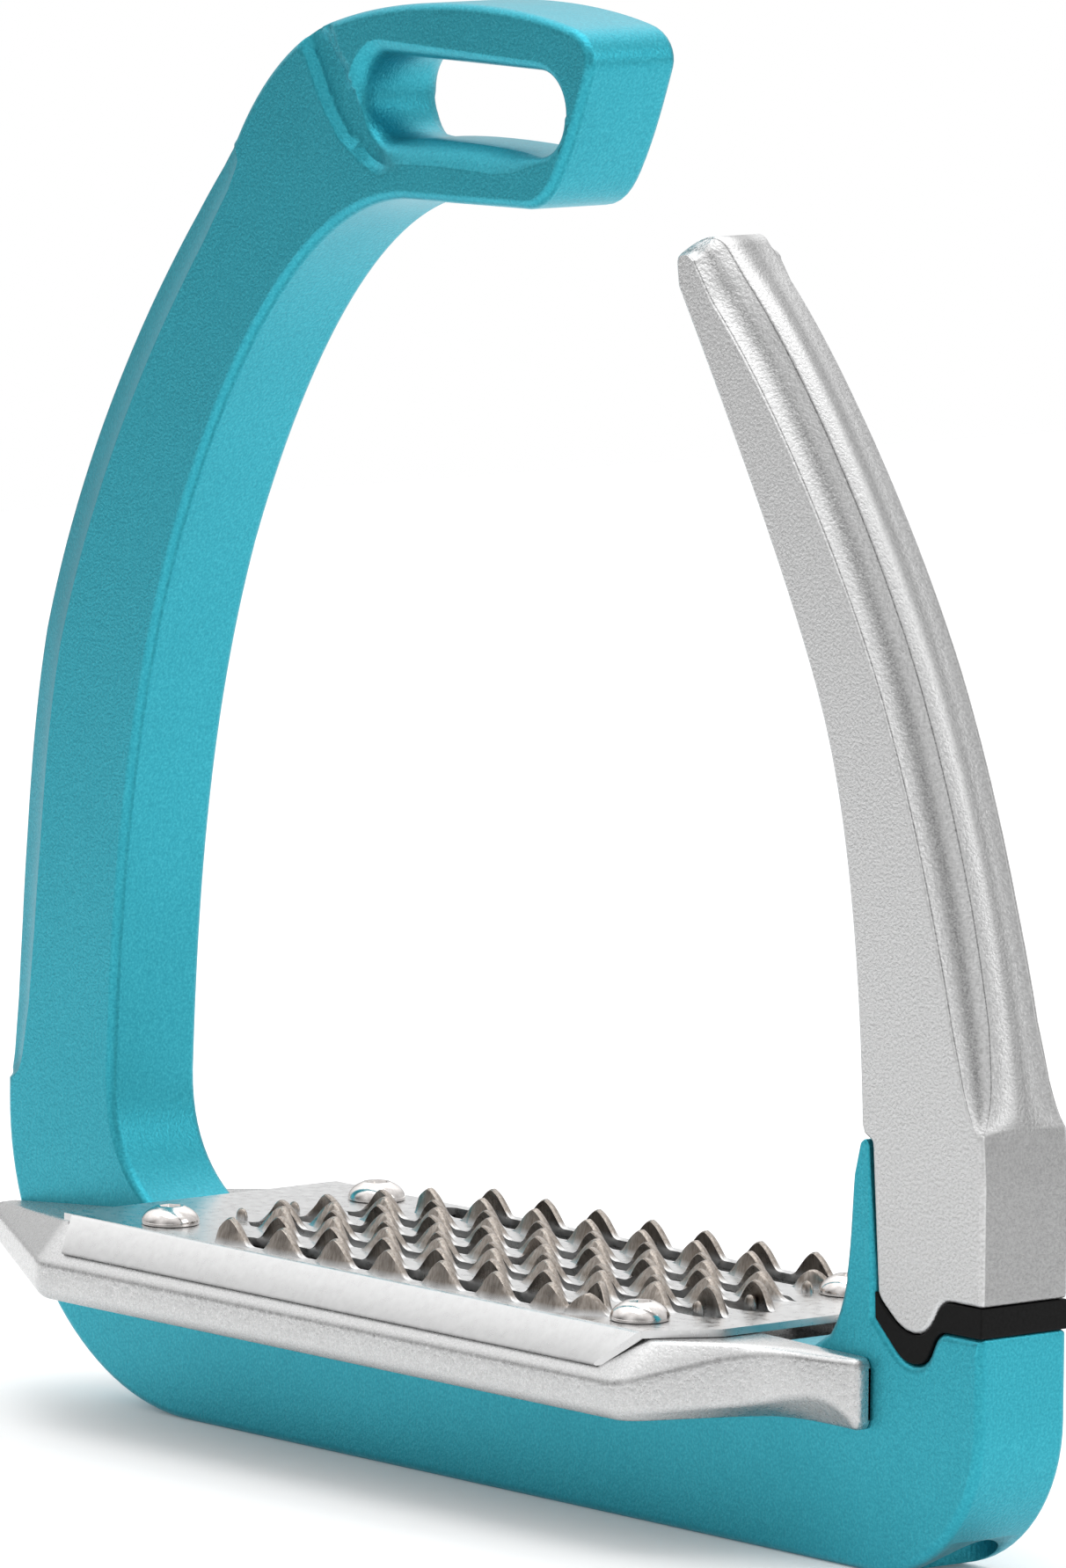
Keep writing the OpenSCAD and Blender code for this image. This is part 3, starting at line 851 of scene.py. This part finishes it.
def lip_strip(cut_of, side):
    """Edge of the sheet along one side of a cut, with its teeth; side is -1 in front."""
    middle, gap, lean_by, front, rear, n_front, n_rear, x0, x1, tail = cut_of
    first, count = (front, n_front) if side < 0 else (rear, n_rear)
    rings = []
    n = math.ceil((x1 - x0) / strip_step)
    outer = max(-lip_limit, min(lip_limit, middle + side * (gap / 2 + lip)))
    for i in range(n + 1):
        x = x0 + (x1 - x0) * i / n
        edge = middle + side * gap / 2 * ease(min(1.0, (x - x0) / 3.2, (x1 - x) / tail))
        rise = tooth_rise(x, first, count, middle, side)
        face = edge + side * sheet_t
        swell = min(0.36 * rise, abs(outer - face) - 0.05)
        soft = min(0.16, rise * 0.3)
        lean = -side * lean_by * rise
        top = sheet_top + rise
        # up the back of the tooth, over its tip, down the wall of the slit and back below
        rings.append([(x, y, z) for y, z in (
            (outer, sheet_top), (face + side * swell, sheet_top),
            (face + side * swell * 0.72 + lean * 0.1, sheet_top + rise * 0.22),
            (face + side * swell * 0.42 + lean * 0.4, sheet_top + rise * 0.55),
            (face + side * swell * 0.12 + lean * 0.9, max(sheet_top, top - soft)),
            (face + lean - side * 0.16, top), (edge + lean + side * 0.16, top),
            (edge + lean * 0.9, max(sheet_top, top - soft)),
            (edge + lean * 0.4 + side * swell * 0.3, sheet_top + rise * 0.5),
            (edge, sheet_top), (edge, sheet_low), (outer, sheet_low))])
    return loft("lip", rings)


nub_spots = ((-38.9, -6.3), (-39.1, 1.1), (37.6, -6.6), (37.6, 0.6), (34.6, 11.0))


def nub(x, y):
    """Little half-round burr that the lancing tool turns up at the end of a slit."""
    rings = []
    for wide, up in ((0.85, -0.3), (0.84, 0.35), (0.72, 0.8), (0.48, 1.1), (0.15, 1.25)):
        ring = []
        for k in range(16):
            a = math.pi * k / 8
            ring.append((x + wide * math.cos(a), y + 0.55 * wide * math.sin(a), sheet_top + up))
        rings.append(ring)
    return loft("nub", rings)


fold_y = 18.9
fold_x = 43.1
plate_line = [(-54, -fold_y), (fold_x, -fold_y), (47.2, -11.4), (47.2, 11.4), (fold_x, fold_y),
              (-54, fold_y)]
screw_spots = [(x, y) for x in (-41.2, 37.4) for y in (-14.3, 14.3)]


def sheet_mesh():
    """The flat of the plate, with an oblong hole for each cut, on its own."""
    rims = [plate_line]
    for middle, gap, _, _, _, _, _, x0, x1, _ in lanced_cuts:
        low = max(-lip_limit, middle - gap / 2 - lip)
        high = min(lip_limit, middle + gap / 2 + lip)
        rims.append([(x0, low), (x1, low), (x1, high), (x0, high)])
    places, _, faces = filled([even(rim, 3.0) for rim in rims])
    bm = bmesh.new()
    upper = [bm.verts.new((p.x * MM, p.y * MM, sheet_top * MM)) for p in places]
    for tri in faces:
        bm.faces.new([upper[k] for k in tri])
    for v in [v for v in bm.verts if not v.link_faces]:
        bm.verts.remove(v)
    grown = bmesh.ops.extrude_face_region(bm, geom=bm.faces[:])
    for v in grown["geom"]:
        if isinstance(v, bmesh.types.BMVert):
            v.co.z = sheet_low * MM
    bmesh.ops.recalc_face_normals(bm, faces=bm.faces[:])
    return placed("sheet", bm, smooth=False)


def flange():
    """Front fold: the sheet turns down and runs along the shoulder of the tray. Its section
    is given from the sheet out and down, round the lip, and back up the inner side."""
    bends = [(-18.6, sheet_top), (-18.95, sheet_top - 0.06), (-19.25, sheet_top - 0.3),
             (-21.75, 20.0), (-21.82, 19.75), (-21.6, 19.62), (-21.3, 19.72),
             (-fold_y, 22.6), (-18.75, sheet_low), (-18.6, sheet_low)]
    steps = 40
    rings = []
    for k in range(steps + 1):
        ring = []
        for y, z in bends:
            down = min(1.0, max(0.0, (-fold_y - y) / 2.8))
            x0 = -52.6 + 1.9 * down
            x1 = fold_x - 4.1 * down
            ring.append((x0 + (x1 - x0) * k / steps, y, z))
        rings.append(ring)
    return loft("flange", rings)


shells = [(sheet_mesh(), False)]
fold = flange()
shells += [(fold, False), (fold, True)]
for one_cut in lanced_cuts:
    shells += [(lip_strip(one_cut, -1), False), (lip_strip(one_cut, 1), False)]
shells += [(nub(x, y), False) for x, y in nub_spots]
plate = joined("grip_sheet", shells)


def lanced_steel():
    """Stainless sheet, plain on the flat and dragged and browned on the teeth."""
    mat, tree, shader, at = new_material("lanced_steel")
    parts = tree.nodes.new("ShaderNodeSeparateXYZ")
    tree.links.new(at, parts.inputs["Vector"])
    above = mapped(tree, parts.outputs["Z"], 0.0, 1.0, (sheet_top + 0.04) * MM, (sheet_top + 0.7) * MM)
    stretch = tree.nodes.new("ShaderNodeMapping")
    stretch.inputs["Scale"].default_value = (1, 1, 0.12)
    tree.links.new(at, stretch.inputs["Vector"])
    drag = noise(tree, stretch.outputs["Vector"], 4200, 3)
    spots = noise(tree, at, 900, 4)
    tooth = ramp(tree, drag, ((0.3, (0.22, 0.19, 0.165, 1)), (0.7, (0.40, 0.36, 0.325, 1))))
    flat = ramp(tree, spots, ((0.3, grey(0.58)), (0.7, grey(0.66))))
    blend = tree.nodes.new("ShaderNodeMix")
    blend.data_type = "RGBA"
    tree.links.new(above, blend.inputs["Factor"])
    tree.links.new(flat, blend.inputs["A"])
    tree.links.new(tooth, blend.inputs["B"])
    tree.links.new(blend.outputs["Result"], shader.inputs["Base Color"])
    tree.links.new(mapped(tree, spots, 0.26, 0.36), shader.inputs["Roughness"])
    shader.inputs["Metallic"].default_value = 1.0
    bumped(tree, shader, ((drag, 0.12, 0.00003), (spots, 0.1, 0.00002)))
    return mat


dress(plate, lanced_steel(), "grip_steel", "stirrup_frame", "grip_plate")

# --- Grip screws ---------------------------------------------------------------------
# Four stainless button head screws with a hexagon socket, bright from the rolling dies.
# They go down through the grip plate at its corners and hold it on the tray.
head_r = 3.15
head_h = 1.95
rim_h = 0.2
shank_r = 1.75
socket_half = 1.10


def lathe(name, profile, x, y, z):
    """Turned solid about an upright axis at (x, y, z), all in mm. The profile is a list of
    (radius, height, flats); with flats that ring is a hexagon, radius being to a flat."""
    sides = 48
    bm = bmesh.new()
    rows = []
    for r, h, flats in profile:
        row = []
        for k in range(sides):
            a = 2 * math.pi * k / sides
            out = r / math.cos((a + math.pi / 6) % (math.pi / 3) - math.pi / 6) if flats else r
            row.append(bm.verts.new(((x + out * math.cos(a)) * MM, (y + out * math.sin(a)) * MM,
                                     (z + h) * MM)))
        rows.append(row)
    for low, high in zip(rows, rows[1:]):
        for k in range(sides):
            bm.faces.new((low[k], low[(k + 1) % sides], high[(k + 1) % sides], high[k]))
    bm.faces.new(rows[0][::-1])
    bm.faces.new(rows[-1])
    bmesh.ops.recalc_face_normals(bm, faces=bm.faces[:])
    return placed(name, bm)


# shank and rim, then the dome, then the flat on top and the socket down to its floor
dome = [(shank_r, -6.9, False), (shank_r, -0.5, False), (head_r - 0.25, 0.0, False),
        (head_r - 0.05, 0.06, False), (head_r, rim_h, False)]
dome += [(math.cos(math.radians(a)) * head_r,
          rim_h + math.sin(math.radians(a)) * (head_h - rim_h) * 1.12, False)
         for a in range(6, 60, 5)]
dome += [(1.58, head_h - 0.03, False), (1.50, head_h, False), (socket_half + 0.04, head_h, True),
         (socket_half, head_h - 0.06, True), (socket_half, 0.6, True), (0.2, 0.5, False)]
heads = [(lathe("head", dome, x, y, sheet_top + 0.02), False) for x, y in screw_spots]
screws = joined("button_screws", heads)


def bright_steel():
    """Polished stainless with fine scuffs."""
    mat, tree, shader, at = new_material("bright_steel")
    scuffs = noise(tree, at, 1400, 3)
    tree.links.new(ramp(tree, scuffs, ((0.3, (0.62, 0.58, 0.56, 1)), (0.7, (0.76, 0.73, 0.71, 1)))),
                   shader.inputs["Base Color"])
    tree.links.new(mapped(tree, scuffs, 0.12, 0.2), shader.inputs["Roughness"])
    shader.inputs["Metallic"].default_value = 1.0
    bumped(tree, shader, ((scuffs, 0.06, 0.00003),))
    return mat


steel = bright_steel()
dress(screws, steel, "hardware_steel", "stirrup_frame", "grip_screw_front_left",
      "grip_screw_rear_left", "grip_screw_front_right", "grip_screw_rear_right")

# --- Draw spring and the pieces inside the base -----------------------------------------
# Wire draw spring with a hook at each end, a little stretched between its two pins. It pulls
# the arm down into its seat and bends across the joint when the arm is open; here it is built
# straight.
# The pins, plug, dowel and tray screws keep their CAD form, in the grip screws' finish.
coil_r = 2.35
wire_r = 0.45
turns = 13
low_z, high_z = 12.6, 32.4
hook_r = 1.6
hook_turn = 290
low_pin_z, high_pin_z = 11, 34


def hook(pin_z, start):
    """Route of the wire round a pin, from the angle start, in degrees."""
    route = []
    for k in range(13):
        a = math.radians(start + hook_turn * k / 12)
        route.append(Vector((spring_x + hook_r * math.cos(a), 0, pin_z + hook_r * math.sin(a))))
    return route


def coils():
    """Route of the wire up the coils, which close in on the hooks at both ends."""
    route = []
    steps = turns * 22
    for k in range(steps + 1):
        t = k / steps
        grow = ease(min(t, 1 - t) * turns / 0.8)
        r = 0.15 + (coil_r - 0.15) * grow
        a = 2 * math.pi * turns * t
        route.append(Vector((spring_x + r * math.cos(a), r * math.sin(a),
                             low_z + (high_z - low_z) * t)))
    return route


def wire(name, path, radius):
    """Round wire along a route, in mm."""
    sides = 8
    rings = []
    side = Vector((0, 1, 0))
    for i, p in enumerate(path):
        ahead = (path[min(i + 1, len(path) - 1)] - path[max(i - 1, 0)]).normalized()
        side = (side - ahead * side.dot(ahead)).normalized()
        over = ahead.cross(side)
        rings.append([p + (side * math.cos(2 * math.pi * k / sides)
                           + over * math.sin(2 * math.pi * k / sides)) * radius
                      for k in range(sides)])
    return loft(name, rings)


spring = wire("draw_spring_wire", hook(low_pin_z, -200) + coils() + hook(high_pin_z, -90), wire_r)


def drawn_wire():
    """Grey spring wire with drawing marks."""
    mat, tree, shader, at = new_material("drawn_wire")
    draw = noise(tree, at, 3000, 2)
    tree.links.new(ramp(tree, draw, ((0.3, grey(0.28)), (0.7, grey(0.42)))),
                   shader.inputs["Base Color"])
    tree.links.new(mapped(tree, draw, 0.25, 0.4), shader.inputs["Roughness"])
    shader.inputs["Metallic"].default_value = 1.0
    return mat


spring.data.materials.append(drawn_wire())
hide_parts("draw_spring")
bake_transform(spring)

for node in ("locating_dowel", "arm_spring_pin", "spring_anchor", "anchor_pin",
             "tray_screw_left", "tray_screw_middle", "tray_screw_right"):
    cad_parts[node].data.materials.clear()
    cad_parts[node].data.materials.append(steel)

# --- Studio ----------------------------------------------------------------------
# Plain white floor in a white tent, a large soft lamp overhead and a smaller one on the
# right. The tent is darker in some directions, which gives the metal its tones.
floor_half = 0.8
sheet_of_paper = bmesh.new()
bmesh.ops.create_grid(sheet_of_paper, x_segments=1, y_segments=1, size=floor_half)
floor = placed("floor", sheet_of_paper, smooth=False)
floor_mat, _, floor_shader, _ = new_material("floor_white")
floor_shader.inputs["Base Color"].default_value = grey(0.9)
floor_shader.inputs["Emission Color"].default_value = grey(1.0)
floor_shader.inputs["Emission Strength"].default_value = 0.08
floor_shader.inputs["Roughness"].default_value = 0.9
floor.data.materials.append(floor_mat)

world = bpy.data.worlds.new("studio")
bpy.context.scene.world = world
world.use_nodes = True
sky = world.node_tree
from_where = sky.nodes.new("ShaderNodeTexCoord")


def lobe(direction, stops):
    """Brightness of the tent by the cosine of the angle from one direction."""
    toward = sky.nodes.new("ShaderNodeVectorMath")
    toward.operation = "DOT_PRODUCT"
    toward.inputs[1].default_value = Vector(direction).normalized()
    sky.links.new(from_where.outputs["Generated"], toward.inputs[0])
    return ramp(sky, toward.outputs["Value"], [(p, grey(v)) for p, v in stops])


def combined(one, other, how):
    """Two brightnesses of the tent put together."""
    node = sky.nodes.new("ShaderNodeMix")
    node.data_type = "RGBA"
    node.blend_type = how
    node.clamp_result = False
    node.inputs["Factor"].default_value = 1.0
    sky.links.new(one, node.inputs["A"])
    sky.links.new(other, node.inputs["B"])
    return node.outputs["Result"]


front_left = lobe((-0.74, -0.66, -0.15), ((0.45, 1.0), (0.74, 0.55), (0.90, 0.23), (1.0, 0.15)))
behind = lobe((-0.77, 0.64, 0.02), ((0.45, 1.0), (0.75, 0.75), (1.0, 0.52)))
camera_side = lobe((0.77, -0.64, 0.12), ((0.70, 1.0), (0.88, 0.7), (0.97, 0.40), (1.0, 0.36)))
far_right = lobe((0.77, 0.64, -0.12), ((0.5, 1.0), (0.95, 0.66)))
upper_left = lobe((-0.77, -0.24, 0.61), ((0.72, 0.0), (0.94, 0.62)))
upper_back = lobe((-0.50, 0.63, 0.60), ((0.84, 0.0), (0.98, 0.9)))
dome_light = lobe((0, 0, 1), ((0.45, 0.0), (0.9, 0.15)))
walls = combined(combined(front_left, behind, "MULTIPLY"),
                 combined(camera_side, far_right, "MULTIPLY"), "MULTIPLY")
cards = combined(upper_left, upper_back, "ADD")
room = combined(walls, combined(cards, dome_light, "ADD"), "ADD")
# straight into the camera the tent is plain white
seen = sky.nodes.new("ShaderNodeLightPath")
sky_pick = sky.nodes.new("ShaderNodeMix")
sky_pick.data_type = "RGBA"
sky.links.new(seen.outputs["Is Camera Ray"], sky_pick.inputs["Factor"])
sky.links.new(room, sky_pick.inputs["A"])
sky_pick.inputs["B"].default_value = grey(1.0)
sky.links.new(sky_pick.outputs["Result"], sky.nodes["Background"].inputs["Color"])
sky.nodes["Background"].inputs["Strength"].default_value = 1.0


def area_light(name, place, target, size, power):
    """Square soft lamp aimed at target."""
    light = bpy.data.lights.new(name, "AREA")
    light.energy = power
    light.size = size
    obj = bpy.data.objects.new(name, light)
    obj.location = place
    obj.rotation_euler = (Vector(target) - Vector(place)).to_track_quat("-Z", "Y").to_euler()
    bpy.context.scene.collection.objects.link(obj)


middle = (0, 0, 0.08)
area_light("top", (0.0, 0.0, 0.75), middle, 0.6, 1.7)
area_light("right", (0.7, 0.35, 0.45), middle, 0.4, 1.0)

azimuth = math.radians(50.28)
elevation = math.radians(7.19)
roll = math.radians(0.5545)
right = Vector((math.cos(azimuth), math.sin(azimuth), 0))
ahead = Vector((-math.sin(azimuth) * math.cos(elevation),
                math.cos(azimuth) * math.cos(elevation), -math.sin(elevation)))
above = right.cross(ahead)
cam_right = right * math.cos(roll) + above * math.sin(roll)
cam_up = above * math.cos(roll) - right * math.sin(roll)
distance = 1.4792452
aim_left = 0.0011748
aim_up = 0.0744212
aim = Vector((0.005, 0, 0)) - cam_right * aim_left + cam_up * aim_up
camera_data = bpy.data.cameras.new("camera")
camera_data.sensor_fit = "HORIZONTAL"
camera_data.sensor_width = 36
camera_data.lens = 470.46
camera_data.clip_end = 50
camera = bpy.data.objects.new("camera", camera_data)
turned = Matrix((cam_right, cam_up, -ahead)).transposed().to_4x4()
camera.matrix_world = Matrix.Translation(aim - ahead * distance) @ turned
bpy.context.scene.collection.objects.link(camera)
bpy.context.scene.camera = camera
bpy.context.scene.view_settings.view_transform = "Standard"
